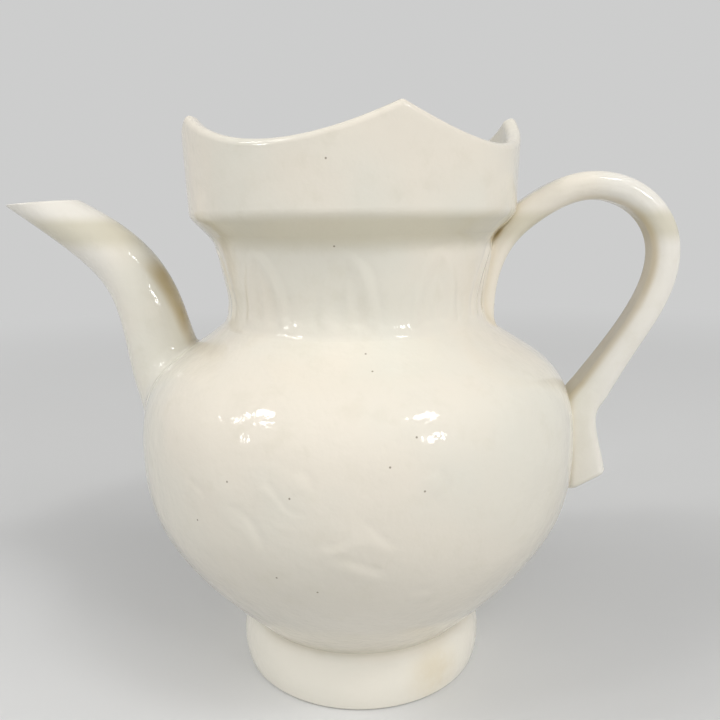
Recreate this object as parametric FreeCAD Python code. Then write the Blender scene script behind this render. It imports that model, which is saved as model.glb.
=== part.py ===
import FreeCAD, Part
import math
import os

from FreeCAD import Placement, Rotation, Vector

# Flower-mouthed porcelain ewer, luted together from separately formed pieces.
# Lengths are in millimetres and angles in degrees. The origin is the centre of the
# foot on the ground plane, Z is up, the spout points along -X and the handle along +X.

# Foot ring
foot_height = 12.8
foot_base_radius = 27.5
foot_swell = 0.8
foot_shoulder_draw = 0.1
foot_top_draw = 1.0
foot_base_wall = 6.0
foot_top_wall = 4.0
foot_recess_depth = 7.5
foot_edge_radius = 0.9
foot_swell_share = 0.30
foot_shoulder_share = 0.84

# Body, thrown as a lower and an upper bowl that meet at the widest level
belly_radius = 48.4
lower_bowl_height = 40.2
upper_bowl_height = 27.3
body_wall = 3.6
floor_thickness = 6.5
floor_corner_share = 0.62
inner_wall_shares = (0.2, 0.45, 0.7, 1.0)

# Neck
neck_height = 17.7
neck_waist_draw = 2.1
neck_foot_flare = 1.0
neck_waist_wall = 3.2
neck_top_wall = 2.9

# Mouth cup with its four-pointed flower rim. Each scallop runs from one point to the
# next through its valley. Rises are measured from the top of the neck.
cup_height = 27.4
cup_shelf_rise = 5.0
cup_mouth_radius = 36.0
cup_flare = 0.7
cup_overhang = 4.8
cup_corner_radius = 3.0
cup_wall = 2.9
cup_shift = 0.45
cup_shelf_fall = 1.0
shelf_lift_share = 0.3
rim_point_angles = (4.0, 106.0, 207.0, 287.0)
rim_point_rises = (25.9, 26.7, 25.2, 24.9)
rim_valley_shares = (0.5, 0.5, 0.5, 0.38)
rim_valley_rises = (18.6, 18.6, 18.3, 18.3)
rim_lip_radius = 1.2

# Spout
spout_root_rise = 6.5
spout_height = 47.0
spout_reach = 28.1
spout_root_radius = 11.0
spout_tip_radius = 3.9
spout_wall = 2.3
spout_tip_wall = 1.1
beak_slope = 3.5
beak_nose = 0.9
passage_radius = 5.0
passage_tilt = 40.0

# Handle strap
strap_thickness = 6.0
strap_root_thickness = 5.2
strap_end_thickness = 7.0
strap_width = 9.0
strap_root_width = 13.0
strap_corner_radius = 2.3
strap_stand_off = 2.1
handle_reach = 19.2
handle_crown = 10.4

# Handle tail, pressed down on the belly
tail_top_width = 10.0
tail_end_width = 14.0
tail_thickness = 8.0
tail_end_thickness = 10.5
tail_stand_off = 5.7
tail_flare = 1.7
tail_length = 18.0
tail_end_slope = 36.0
tail_corner_radius = 2.4
tail_station_shares = ((0.30, 0.00), (0.62, 0.30))

# One overrun for every cut, and how close two values must be to count as meeting
overrun = 5.0
meeting_tolerance = 0.01

# Radii that follow from the mouth and from the foot
cup_foot_radius = cup_mouth_radius - cup_flare
neck_top_radius = cup_foot_radius - cup_overhang
neck_waist_radius = neck_top_radius - neck_waist_draw
neck_foot_radius = neck_waist_radius + neck_foot_flare
foot_swell_radius = foot_base_radius + foot_swell
foot_shoulder_radius = foot_base_radius - foot_shoulder_draw
foot_top_radius = foot_base_radius - foot_top_draw

# Inner radii that follow from the walls
foot_recess_radius = foot_base_radius - foot_base_wall
foot_seat_radius = foot_top_radius - foot_top_wall
neck_bore_radius = neck_waist_radius - neck_waist_wall
neck_throat_radius = neck_top_radius - neck_top_wall

# Levels that follow from the stacked pieces
seam_level = foot_height + lower_bowl_height
shoulder_level = seam_level + upper_bowl_height
neck_top_level = shoulder_level + neck_height
spout_root_level = seam_level + spout_root_rise

# Outline shares, chosen by hand: how far the radius has gone from its smaller to its
# larger value, and how far the height has gone from the piece's foot to its top.
lower_bowl_shares = ((0.81, 0.467), (1.0, 0.637))
upper_bowl_shares = ((1.0, 0.744), (0.527, 0.677))
neck_waist_share = 0.18
neck_middle_shares = (0.17, 0.47)

# Spout stations: outward share of the reach past the belly, upward share of the
# height, and radius share from the tip's radius to the root's radius.
spout_station_shares = ((-0.370, 0.000, 1.00), (-0.190, 0.182, 0.68),
                        (-0.110, 0.342, 0.53), (-0.050, 0.494, 0.47),
                        (0.085, 0.672, 0.39), (0.330, 0.822, 0.29),
                        (0.560, 0.918, 0.20), (1.030, 1.085, 0.00))

# Strap stations: outward share from the neck's side to the furthest reach, and upward
# share from the belly seam to the crown of the arch.
strap_station_shares = ((0.000, 0.450), (0.000, 0.569), (0.003, 0.695), (0.076, 0.822),
                        (0.250, 0.924), (0.495, 0.998), (0.701, 0.991), (0.883, 0.921),
                        (0.989, 0.800), (0.995, 0.668), (0.929, 0.529), (0.816, 0.390),
                        (0.638, 0.191))
strap_root_share = 0.25

# Largest share of half a section's thickness that its rounded corners may take
corner_share = 0.9


def share_between(low, high, share):
    """Value that lies the given share of the way from low to high."""
    return low + share * (high - low)


def spline(points, start_tangent=None, end_tangent=None):
    """Smooth curve through points, with its end directions given where they matter."""
    curve = Part.BSplineCurve()
    if start_tangent is None:
        curve.interpolate(Points=points)
    else:
        curve.interpolate(Points=points, InitialTangent=start_tangent,
                          FinalTangent=end_tangent)
    return curve


def bezier(poles):
    """Smooth curve drawn towards its poles, from the first to the last."""
    curve = Part.BezierCurve()
    curve.setPoles(poles)
    return curve


def at(radius, level):
    """Point of a turned outline, in the plane through the axis."""
    return Vector(radius, 0, level)


def polyline(points):
    """Straight edges from point to point."""
    return [Part.makeLine(a, b) for a, b in zip(points[:-1], points[1:])]


def revolve(edges):
    """Solid turned from a closed outline in the XZ plane."""
    face = Part.Face(Part.Wire(edges))
    return face.revolve(Vector(0, 0, 0), Vector(0, 0, 1), 360)


def largest_solid(shape):
    return max(shape.Solids, key=lambda solid: solid.Volume)


def shifted_inward(curve, shares, wall):
    """Points of a curve, at shares of its run, moved in square to it by a wall."""
    inner = []
    for share in shares:
        parameter = share_between(curve.FirstParameter, curve.LastParameter, share)
        tangent = curve.tangent(parameter)[0]
        inner.append(curve.value(parameter) + Vector(-tangent.z, 0, tangent.x) * wall)
    return inner


# Turned outlines

def bowl_poles(shares, narrow_radius, low, high):
    poles = []
    for radius_share, height_share in shares:
        radius = share_between(narrow_radius, belly_radius, radius_share)
        poles.append(at(radius, share_between(low, high, height_share)))
    return poles


def lower_bowl_curve():
    """Outer line of the lower bowl, from the foot ring up to the belly."""
    poles = bowl_poles(lower_bowl_shares, foot_top_radius, foot_height, seam_level)
    return bezier([at(foot_top_radius, foot_height)] + poles
                  + [at(belly_radius, seam_level)])


def upper_bowl_curve():
    """Outer line of the upper bowl, from the belly up to the neck."""
    poles = bowl_poles(upper_bowl_shares, neck_foot_radius, seam_level, shoulder_level)
    return bezier([at(belly_radius, seam_level)] + poles
                  + [at(neck_foot_radius, shoulder_level)])


def neck_curve():
    """Outer line of the neck, from the shoulder up to the cup."""
    radius_share, height_share = neck_middle_shares
    waist_level = share_between(shoulder_level, neck_top_level, neck_waist_share)
    middle = at(share_between(neck_waist_radius, neck_top_radius, radius_share),
                share_between(shoulder_level, neck_top_level, height_share))
    return spline([at(neck_foot_radius, shoulder_level),
                   at(neck_waist_radius, waist_level), middle,
                   at(neck_top_radius, neck_top_level)])


# Full turned solids, used to seat the spout and the handle on the walls

def turned_core(edge, low, high):
    """Solid inside an outline that runs from the level low to the level high."""
    start = edge.Vertexes[0].Point
    end = edge.Vertexes[-1].Point
    return revolve([edge] + polyline([end, at(0, high), at(0, low), start]))


def cup_core():
    """Solid inside the mouth cup's outer surface, standing on the level zero."""
    outline = polyline([at(0, 0), at(neck_top_radius, 0),
                        at(cup_foot_radius, cup_shelf_rise),
                        at(cup_mouth_radius, cup_height), at(0, cup_height), at(0, 0)])
    core = revolve(outline)
    corner = edges_at(core, cup_foot_radius, cup_shelf_rise)
    return core.makeFillet(cup_corner_radius, corner)


def set_on_neck(shape):
    """Moves a shape made about the cup's own axis and foot onto the neck."""
    shape.translate(Vector(-cup_shift, 0, neck_top_level))
    return shape


def edges_at(shape, radius, level):
    """Round edges about the axis, at a radius and a level."""
    found = []
    for edge in shape.Edges:
        box = edge.BoundBox
        same_level = abs(box.ZMin - level) + abs(box.ZMax - level) < meeting_tolerance
        if same_level and abs(box.XMax - radius) < meeting_tolerance:
            found.append(edge)
    return found


def cut_by_cores(shape):
    """The shape with everything inside the vessel's outer surface taken away."""
    for core in (turned_core(lower_bowl_curve().toShape(), foot_height, seam_level),
                 turned_core(upper_bowl_curve().toShape(), seam_level, shoulder_level),
                 turned_core(neck_curve().toShape(), shoulder_level, neck_top_level),
                 set_on_neck(cup_core())):
        shape = shape.cut(core)
    return largest_solid(shape)


# Foot ring

def make_foot_ring():
    """Turned ring with a step inside, on which the floor of the bowl rests."""
    outer = spline([at(foot_base_radius, 0),
                    at(foot_swell_radius, foot_height * foot_swell_share),
                    at(foot_shoulder_radius, foot_height * foot_shoulder_share),
                    at(foot_top_radius, foot_height)])
    inside = polyline([at(foot_top_radius, foot_height),
                       at(foot_seat_radius, foot_height),
                       at(foot_seat_radius, foot_recess_depth),
                       at(foot_recess_radius, foot_recess_depth),
                       at(foot_recess_radius, 0), at(foot_base_radius, 0)])
    ring = revolve([outer.toShape()] + inside)
    base_edge = edges_at(ring, foot_base_radius, 0)
    return largest_solid(ring.makeFillet(foot_edge_radius, base_edge))


# Body bowls

def make_lower_bowl():
    curve = lower_bowl_curve()
    floor_level = foot_recess_depth + floor_thickness
    inner = shifted_inward(curve, inner_wall_shares, body_wall)
    corner = at(foot_top_radius * floor_corner_share, floor_level)
    inner_curve = spline([corner] + inner, Vector(1, 0, 0), Vector(0, 0, 1))
    edges = [curve.toShape(), Part.makeLine(at(belly_radius, seam_level), inner[-1]),
             inner_curve.toShape()]
    edges += polyline([corner, at(0, floor_level), at(0, foot_recess_depth),
                       at(foot_seat_radius, foot_recess_depth),
                       at(foot_seat_radius, foot_height),
                       at(foot_top_radius, foot_height)])
    return largest_solid(revolve(edges))


def make_upper_bowl():
    curve = upper_bowl_curve()
    inner = shifted_inward(curve, [1 - share for share in reversed(inner_wall_shares)],
                           body_wall)
    throat = at(neck_bore_radius, shoulder_level - body_wall)
    inner_curve = spline(inner + [throat], Vector(0, 0, 1), Vector(-1, 0, 0))
    edges = [curve.toShape()]
    edges += polyline([at(neck_foot_radius, shoulder_level),
                       at(neck_bore_radius, shoulder_level), throat])
    edges += [inner_curve.toShape(), Part.makeLine(inner[0], at(belly_radius, seam_level))]
    return largest_solid(revolve(edges).cut(make_spout_passage()))


# Neck and mouth cup

def make_neck():
    inside = polyline([at(neck_top_radius, neck_top_level),
                       at(neck_throat_radius, neck_top_level),
                       at(neck_bore_radius, shoulder_level),
                       at(neck_foot_radius, shoulder_level)])
    return largest_solid(revolve([neck_curve().toShape()] + inside))


def make_rim_cutter(first, second, valley_share, valley_rise):
    """Round bar, lying across the cup's wall, that cuts one scallop of the rim."""
    (start, start_rise), (end, end_rise) = first, second
    middle = (start + end) / 2
    stops = ((start, start_rise), (share_between(start, end, valley_share), valley_rise),
             (end, end_rise))
    points = []
    for angle, rise in stops:
        across = cup_mouth_radius * math.sin(math.radians(angle - middle))
        points.append(Vector(0, across, rise))
    disc = Part.Face(Part.Wire(Part.Circle(*points).toShape()))
    bar = disc.extrude(Vector(cup_mouth_radius + overrun, 0, 0))
    bar.rotate(Vector(0, 0, 0), Vector(0, 0, 1), middle)
    return bar


def make_rim_cutters():
    points = list(zip(rim_point_angles, rim_point_rises))
    points.append((rim_point_angles[0] + 360, rim_point_rises[0]))
    return [make_rim_cutter(first, second, share, rise)
            for first, second, share, rise in zip(points[:-1], points[1:],
                                                  rim_valley_shares, rim_valley_rises)]


def rim_edges(cup):
    """Edges of the cut rim: along the scallops and across the four points."""
    lowest = min(rim_valley_rises) - rim_lip_radius
    return [edge for edge in cup.Edges if edge.BoundBox.ZMin > lowest]


def make_mouth_cup():
    floor_rise = cup_shelf_rise + cup_wall * shelf_lift_share
    shelf_radius = cup_foot_radius - cup_wall
    outline = polyline([at(0, cup_height + overrun),
                        at(cup_mouth_radius - cup_wall, cup_height + overrun),
                        at(shelf_radius, floor_rise),
                        at(neck_throat_radius, floor_rise - cup_shelf_fall),
                        at(neck_throat_radius, -overrun), at(0, -overrun),
                        at(0, cup_height + overrun)])
    hollow = revolve(outline)
    hollow = hollow.makeFillet(cup_corner_radius, edges_at(hollow, shelf_radius, floor_rise))
    cup = cup_core().cut(hollow)
    for cutter in make_rim_cutters():
        cup = cup.cut(cutter)
    cup = largest_solid(cup)
    return set_on_neck(cup.makeFillet(rim_lip_radius, rim_edges(cup)))


# Swept pieces: sections stand square to a path in the XZ plane

def section_placement(center, tangent):
    """Placement whose local Z runs along the path and local Y along world Y."""
    tilt = math.degrees(math.atan2(tangent.x, tangent.z))
    return Placement(center, Rotation(Vector(0, 1, 0), tilt))


def circle_section(center, tangent, radius):
    wire = Part.Wire(Part.makeCircle(radius))
    wire.Placement = section_placement(center, tangent)
    return wire


def strap_section(center, tangent, thickness, width, corner):
    """Rounded rectangle, thick across the path in its plane and wide along Y."""
    x, y = thickness / 2, width / 2
    c = min(corner, corner_share * x, corner_share * y)
    diagonal = c * math.cos(math.radians(45))
    edges = []
    for turn, (half, side) in zip((0, 90, 180, 270), ((x, y), (y, x), (x, y), (y, x))):
        flat = Part.makeLine(Vector(half, c - side, 0), Vector(half, side - c, 0))
        bend = Part.Arc(Vector(half, side - c, 0),
                        Vector(half - c + diagonal, side - c + diagonal, 0),
                        Vector(half - c, side, 0)).toShape()
        for edge in (flat, bend):
            edge.rotate(Vector(0, 0, 0), Vector(0, 0, 1), turn)
            edges.append(edge)
    wire = Part.Wire(edges)
    wire.Placement = section_placement(center, tangent)
    return wire


def tangents(centers):
    path = spline(centers)
    return [path.tangent(path.parameter(center))[0] for center in centers]


# Spout

def spout_stations():
    """Centres and outer radii of the spout, from the root in the wall to the tip."""
    centers, radii = [], []
    for out_share, up_share, radius_share in spout_station_shares:
        centers.append(Vector(-belly_radius - out_share * spout_reach, 0,
                              spout_root_level + up_share * spout_height))
        radii.append(share_between(spout_tip_radius, spout_root_radius, radius_share))
    return centers, radii


def spout_body(tip_wall, root_wall):
    """Loft through the stations, drawn in by a wall that grows towards the root."""
    centers, radii = spout_stations()
    sections = []
    for center, tangent, radius, shares in zip(centers, tangents(centers), radii,
                                               spout_station_shares):
        wall = share_between(tip_wall, root_wall, shares[2])
        sections.append(circle_section(center, tangent, radius - wall))
    return Part.makeLoft(sections, True, False)


def make_beak_cutter():
    """Block above the slanting cut that leaves the spout's beak."""
    level = spout_root_level + spout_height
    size = spout_reach + belly_radius
    block = Part.makeBox(size, size, size, Vector(-size, -size / 2, 0))
    corner = Vector(-belly_radius - spout_reach, 0, level)
    block.Placement = Placement(corner, Rotation(Vector(0, 1, 0), -beak_slope))
    block.translate(block.Placement.Rotation.multVec(Vector(size / 2, 0, 0)))
    return block


def make_nose_cutter():
    """Block beyond the beak that blunts its thin tip."""
    size = spout_reach + belly_radius
    corner = Vector(-2 * size - beak_nose, -size / 2, spout_root_level)
    return Part.makeBox(size, size, size, corner)


def make_spout_passage():
    """Round hole through the shoulder wall, from the body into the spout."""
    center = spout_stations()[0][1]
    direction = Rotation(Vector(0, 1, 0), passage_tilt).multVec(Vector(-1, 0, 0))
    length = body_wall + overrun
    start = center - direction * length
    return Part.makeCylinder(passage_radius, 2 * length, start, direction)


def make_spout():
    outer = spout_body(0, 0)
    bore = spout_body(spout_tip_wall, spout_wall)
    spout = outer.cut(bore).cut(make_beak_cutter()).cut(make_nose_cutter())
    return cut_by_cores(spout)


# Handle

def neck_lean(level):
    """How far the neck's side leans out over its waist, at a level."""
    waist_level = share_between(shoulder_level, neck_top_level, neck_waist_share)
    share = (level - waist_level) / (neck_top_level - waist_level)
    return (neck_top_radius - neck_waist_radius) * min(1.0, max(0.0, share))


def strap_centers():
    """Centres of the strap, up along the neck's side and over to the belly."""
    root = neck_waist_radius + strap_stand_off - strap_root_thickness / 2
    furthest = belly_radius + handle_reach
    crown = neck_top_level + handle_crown
    centers = []
    for out_share, up_share in strap_station_shares:
        level = share_between(seam_level, crown, up_share)
        side = root + neck_lean(level)
        centers.append(at(share_between(side, furthest, out_share), level))
    return centers


def strap_sections():
    """Sections of the strap, wide and thin at the root on the neck."""
    centers = strap_centers()
    sections = []
    last = len(centers) - 1
    for index, (center, tangent) in enumerate(zip(centers, tangents(centers))):
        share = min(1.0, index / last / strap_root_share)
        thickness = share_between(strap_root_thickness, strap_thickness, share)
        width = share_between(strap_root_width, strap_width, share)
        if index == last:
            thickness = strap_end_thickness
            width = tail_top_width
        sections.append(strap_section(center, tangent, thickness, width,
                                      strap_corner_radius))
    return sections


def make_handle_strap():
    return cut_by_cores(Part.makeLoft(strap_sections(), True, False))


def make_handle_tail():
    """Strap end turned down and pressed on the belly, with a flared, cut end."""
    top = strap_centers()[-1]
    outer = belly_radius + tail_stand_off
    down = Vector(0, 0, -1)
    turn = Rotation(Vector(0, 1, 0), -tail_end_slope)
    end_edge = at(outer + tail_flare, top.z - tail_length)
    end = end_edge + turn.multVec(Vector(-tail_end_thickness / 2, 0, 0))
    sections = [strap_sections()[-1]]
    for down_share, flare_share in tail_station_shares:
        center = at(outer + tail_flare * flare_share - tail_thickness / 2,
                    top.z - tail_length * down_share)
        width = share_between(tail_top_width, tail_end_width, down_share)
        sections.append(strap_section(center, down, tail_thickness, width,
                                      tail_corner_radius))
    sections.append(strap_section(end, turn.multVec(down), tail_end_thickness,
                                  tail_end_width, tail_corner_radius))
    return cut_by_cores(Part.makeLoft(sections, True, False))


pieces = {
    "foot_ring": make_foot_ring,
    "lower_bowl": make_lower_bowl,
    "upper_bowl": make_upper_bowl,
    "neck": make_neck,
    "mouth_cup": make_mouth_cup,
    "spout": make_spout,
    "handle_strap": make_handle_strap,
    "handle_tail": make_handle_tail,
}

os.makedirs("parts", exist_ok=True)
for name, make in pieces.items():
    solid = make()
    solid.exportStep(os.path.join("parts", name + ".step"))
    print(name, "solids", len(solid.Solids), "volume", round(solid.Volume),
          "valid", solid.isValid())
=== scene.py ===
import math

import bpy
import numpy as np
from mathutils import Matrix, Vector


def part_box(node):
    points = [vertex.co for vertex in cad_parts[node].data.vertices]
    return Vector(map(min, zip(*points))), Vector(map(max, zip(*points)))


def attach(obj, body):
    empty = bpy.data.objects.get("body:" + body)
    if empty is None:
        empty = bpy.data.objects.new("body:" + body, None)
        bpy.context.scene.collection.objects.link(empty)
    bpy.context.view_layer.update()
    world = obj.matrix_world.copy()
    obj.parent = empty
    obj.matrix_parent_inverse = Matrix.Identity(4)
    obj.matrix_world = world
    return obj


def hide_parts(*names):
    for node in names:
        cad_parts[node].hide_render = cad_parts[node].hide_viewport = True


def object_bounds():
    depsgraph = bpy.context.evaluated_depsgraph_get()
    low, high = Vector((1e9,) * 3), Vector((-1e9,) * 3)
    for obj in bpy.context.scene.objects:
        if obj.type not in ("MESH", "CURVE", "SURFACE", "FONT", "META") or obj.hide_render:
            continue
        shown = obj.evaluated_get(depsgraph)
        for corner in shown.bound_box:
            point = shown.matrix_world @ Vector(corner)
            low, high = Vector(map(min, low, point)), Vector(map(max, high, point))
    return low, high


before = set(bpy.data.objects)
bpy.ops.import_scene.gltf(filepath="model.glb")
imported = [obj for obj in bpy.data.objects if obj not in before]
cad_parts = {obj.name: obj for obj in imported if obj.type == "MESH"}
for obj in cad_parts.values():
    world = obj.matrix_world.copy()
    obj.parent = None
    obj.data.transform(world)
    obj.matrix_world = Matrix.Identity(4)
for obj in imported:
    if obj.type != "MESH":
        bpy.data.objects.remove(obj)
cad_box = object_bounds()

# Shapes are worked out in millimetres in the frame's axes: Z up, the spout towards -X,
# the handle towards +X, the photographed side towards -Y. The glaze, the lamps and the
# camera are in metres.
MM = 0.001


def box_mm(node):
    """Lowest and highest corner of a node, in millimetres."""
    low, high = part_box(node)
    return np.array(low) / MM, np.array(high) / MM


# Levels and radii read from the frame. The belly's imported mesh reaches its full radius
# along X alone, so meshes keep within the radius that it has along Y.
foot_level = box_mm("foot_ring")[1][2]
recess_level = box_mm("lower_bowl")[0][2]
seam_level = box_mm("lower_bowl")[1][2]
shoulder_level = box_mm("upper_bowl")[1][2]
neck_top_level = box_mm("neck")[1][2]
belly_full_radius, belly_radius = box_mm("lower_bowl")[1][:2]
neck_top_radius = box_mm("neck")[1][0]
nose_front = cad_box[0][0] / MM

# Foot and body
foot_top_radius = 26.5
foot_seat_radius = 22.5
foot_lap = 1.2
foot_lap_inset = 1.6
body_wall = 3.6
floor_thickness = 6.5
floor_hub_radius = 0.6
floor_ring_radii = (12.0, 8.0)
floor_bend_rise = 3.4
floor_bend_shares = (0.6, 0.8, 0.62)
throat_clearance = 0.5
lower_bowl_shares = ((0.81, 0.467), (1.0, 0.637))
upper_bowl_shares = ((1.0, 0.744), (0.527, 0.677))

# Neck
neck_foot_radius = 29.4
neck_waist_radius = 28.4
neck_bore_radius = 25.2
neck_throat_radius = 27.6
neck_waist_share = 0.18
neck_middle_shares = (0.17, 0.47)

# Mouth cup, set a little to the spout's side
cup_foot_radius = 35.3
cup_mouth_radius = 36.0
cup_height = 27.4
cup_shelf_rise = 5.0
cup_corner_reach = 1.9
cup_shift = 0.45
cup_shift_run = 4.0

# Spout
spout_root_rise = 6.5
spout_height = 47.0
spout_reach = 28.1
spout_root_radius = 11.0
spout_tip_radius = 3.9
spout_wall = 2.3
spout_tip_wall = 1.1
beak_slope = math.radians(3.5)
nose_round = 0.6
lip_round = 0.5

# Outward share of the reach past the belly, upward share of the height, and radius share
# from the tip's radius to the root's radius
spout_station_shares = ((-0.370, 0.000, 1.00), (-0.190, 0.182, 0.68),
                        (-0.110, 0.342, 0.53), (-0.050, 0.494, 0.47),
                        (0.085, 0.672, 0.39), (0.330, 0.822, 0.29),
                        (0.560, 0.918, 0.20), (1.030, 1.085, 0.00))

# Handle strap
strap_stand_off = 2.1
strap_thickness = 6.0
strap_root_thickness = 5.2
strap_end_thickness = 7.0
strap_width = 9.0
strap_root_width = 13.0
strap_root_share = 0.25
strap_end_corner = 2.3
strap_middle_corner = 2.8
strap_middle_shares = (0.3, 0.75)
handle_reach = 19.2
handle_crown = 10.4

# Outward share from the neck's side to the furthest reach, and upward share from the
# belly seam to the crown of the arch
strap_station_shares = ((0.000, 0.450), (-0.004, 0.569), (0.003, 0.695), (0.076, 0.822),
                        (0.250, 0.924), (0.495, 0.998), (0.701, 0.991), (0.883, 0.921),
                        (0.989, 0.800), (0.995, 0.668), (0.929, 0.529), (0.816, 0.390),
                        (0.638, 0.191))

# Handle tail, turned down and pressed on the belly
tail_top_turn = -33.0
tail_end_turn = 36.0
tail_top_width = 10.0
tail_end_width = 14.0
tail_thickness = 8.0
tail_end_thickness = 10.5
tail_stand_off = 5.7
tail_flare = 1.7
tail_length = 18.0
tail_corner = 2.4
tail_round = 1.3
tail_fill_shares = (0.8, 0.6, 0.4, 0.2)
tail_station_shares = ((0.30, 0.00), (0.62, 0.30))

# Softened creases between the luted pieces
shoulder_fillet = 0.8
cup_fillet = 2.0
tuck_depth = 0.5
spout_melt = 3.4
spout_crook_melt = 1.2
spout_bore_melt = 0.8
spout_crook_facing = (0.1, 0.9)
strap_melt = 1.6
tail_melt = 1.5
skirt_sink = 0.02

# Pooled glaze on the spout, and on the handle pooled glaze with painted shade on its inner face and
# along its joints: how strong it is, how squarely a point faces the inner side there, and where
# along the piece it comes and goes. On the spout it winds a little to one side.
spout_pool = 1.4
spout_pool_least = 0.35
spout_pool_facing = (0.82, 0.98)
spout_pool_wind = 0.85
spout_pool_straight_share = 0.1
spout_pool_rise_shares = (0.1, 0.27)
spout_pool_fall_shares = (0.42, 0.58)
# The handle's inner face: pooled glaze, with painted shade where it faces away from the light
handle_pool_and_shade = 0.7
inner_face_range = (0.5, 0.95)
strap_inner_rise_shares = (0.3, 0.55)
tail_inner_fall = (3.5, 6.5)
# Along the handle's joints with the vessel: pooled glaze and painted shade in the crease
crease_pool_and_shade = 0.5
strap_crease_width = 1.2
tail_crease_width = 1.0

# Carved petals on the neck: a raised rim between two grooves, and a vein. Each ridge or
# groove has its height, its place inward of the rim's line and its half width. The
# vein's place is from the middle of the petal.
petal_count = 10
petal_phase = math.radians(268.9)
petal_foot = 81.5
petal_height = 14.2
petal_width = 9.2
petal_rim = (0.21, 0.0, 1.1)
petal_groove = (-0.09, -1.7, 0.8)
petal_hollow = (-0.14, 2.7, 1.3)
petal_vein = (0.05, 0.0, 0.8)
petal_side_powers = (2.4, 0.7)
petal_start_share = -0.1
petal_foot_shares = (0.0, 0.12)
petal_vein_end_shares = (0.65, 0.85)
petal_top_shares = (1.15, 1.3)

# Pressed foliage on the body: a groove with a bank on its right-hand side
leaf_repeats = 3
leaf_depth = 0.12
leaf_width = 1.0
leaf_margin = 6.0
leaf_rise_share = 0.25
leaf_fall_share = 0.7
bank_height = 0.16
bank_width = 1.6
bank_reach = 1.8

# One repeat of the foliage. Each line goes through places given by bearing in degrees
# and level.
leaf_lines = (((230, 56), (234, 55.2), (237.5, 53)),
              ((241, 52.5), (246, 52.3), (250, 49.5), (252, 43.5)),
              ((252, 59.5), (255, 56.5), (258, 53.5), (263, 53.7)),
              ((260, 61.3), (262, 59.5), (263, 57)),
              ((272, 53.3), (276, 49.7), (281, 46.5)),
              ((264, 44.8), (269, 45), (274, 43.3), (279, 41.8)),
              ((263.5, 47.7), (268, 48.2), (270.3, 51.3)),
              ((288, 61), (290, 58), (290.5, 55.5)),
              ((283, 37.6), (286, 37), (289, 37.3)))

# Stations of the spout and the handle are rounded to hundredths of a millimetre
station_decimals = 2

# Mesh fineness: the least angle that stays an edge, counts, and distances between points
sharp_angle = math.radians(38)
round_steps = 720
petal_steps = 56
tube_steps = 96
curve_points = 160
bend_points = 14
petal_points = 90
lip_points = 7
end_points = 8
spout_rows = 300
bore_rows = 150
inner_stride = 6
fine_spacing = 0.2
tube_spacing = 0.25
neck_spacing = 0.26
strap_spacing = 0.3
wall_spacing = 0.4
cup_spacing = 0.5


# Curves

def between(low, high, share):
    """Value that lies the given share of the way from low to high."""
    return low + share * (high - low)


def smooth_step(low, high, value):
    """Rises smoothly from 0 to 1 as the value goes from low to high."""
    t = np.clip((value - low) / (high - low), 0, 1)
    return t * t * (3 - 2 * t)


def bezier(poles, count):
    """Points of a smooth curve drawn towards its four poles."""
    t = np.linspace(0, 1, count)[:, None]
    a, b, c, d = (np.array(pole, float) for pole in poles)
    return (1 - t)**3 * a + 3 * (1 - t)**2 * t * b + 3 * (1 - t) * t**2 * c + t**3 * d


def run_of(points):
    """Distance along a line of points, from its start to each of them."""
    steps = np.linalg.norm(np.diff(points, axis=0), axis=1)
    return np.concatenate([[0], np.cumsum(steps)])


def smooth_through(stations, spacing):
    """Natural cubic spline through rows whose first two columns are a place."""
    stations = np.array(stations, float)
    knots = run_of(stations[:, :2])
    gap = np.diff(knots)
    count = len(knots)
    matrix = np.eye(count)
    right = np.zeros_like(stations)
    for i in range(1, count - 1):
        matrix[i, i - 1:i + 2] = gap[i - 1], 2 * (gap[i - 1] + gap[i]), gap[i]
        right[i] = 6 * ((stations[i + 1] - stations[i]) / gap[i]
                        - (stations[i] - stations[i - 1]) / gap[i - 1])
    bend = np.linalg.solve(matrix, right)
    at = np.linspace(0, knots[-1], int(knots[-1] / spacing) + 1)
    span = np.clip(np.searchsorted(knots, at, side="right") - 1, 0, count - 2)
    h = gap[span][:, None]
    u = (at - knots[span])[:, None]
    v = h - u
    return ((bend[span] * v**3 + bend[span + 1] * u**3) / (6 * h)
            + (stations[span] / h - bend[span] * h / 6) * v
            + (stations[span + 1] / h - bend[span + 1] * h / 6) * u)


def along_line(points, run, at):
    """Points of a line at the given distances along it."""
    return np.stack([np.interp(at, run, column) for column in points.T], 1)


def resampled(points, spacing):
    """The same line with evenly spaced points."""
    run = run_of(points)
    count = max(2, int(round(run[-1] / spacing)) + 1)
    return along_line(points, run, np.linspace(0, run[-1], count))


def cut_at(points, distance, from_end=False):
    """A line without its first, or last, stretch of the given length."""
    if from_end:
        return cut_at(points[::-1], distance)[::-1]
    run = run_of(points)
    return np.vstack([along_line(points, run, [distance]), points[run > distance]])


def softened(first, second, reach):
    """Two lines that meet at a corner, and the curve between them that starts reach away."""
    corner = first[-1]
    before = cut_at(first, reach, from_end=True)
    after = cut_at(second, reach)
    t = np.linspace(0, 1, bend_points)[1:-1, None]
    bend = (1 - t)**2 * before[-1] + 2 * (1 - t) * t * corner + t**2 * after[0]
    return before, bend, after


def line_normals(line):
    """Directions square to a line of radius and level, out of the turned wall."""
    slope = np.gradient(line, axis=0)
    normal = np.stack([slope[:, 1], -slope[:, 0]], 1)
    return normal / np.linalg.norm(normal, axis=1)[:, None]


# Outer outlines of the vessel, as rows of radius and level

def bowl_poles(shares, narrow_radius, low, high):
    """Points towards which a bowl's outline is drawn between its two ends."""
    return [(between(narrow_radius, belly_radius, out), between(low, high, up))
            for out, up in shares]


def lower_bowl_line():
    poles = bowl_poles(lower_bowl_shares, foot_top_radius, foot_level, seam_level)
    return bezier([(foot_top_radius, foot_level), *poles, (belly_radius, seam_level)],
                  curve_points)


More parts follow.
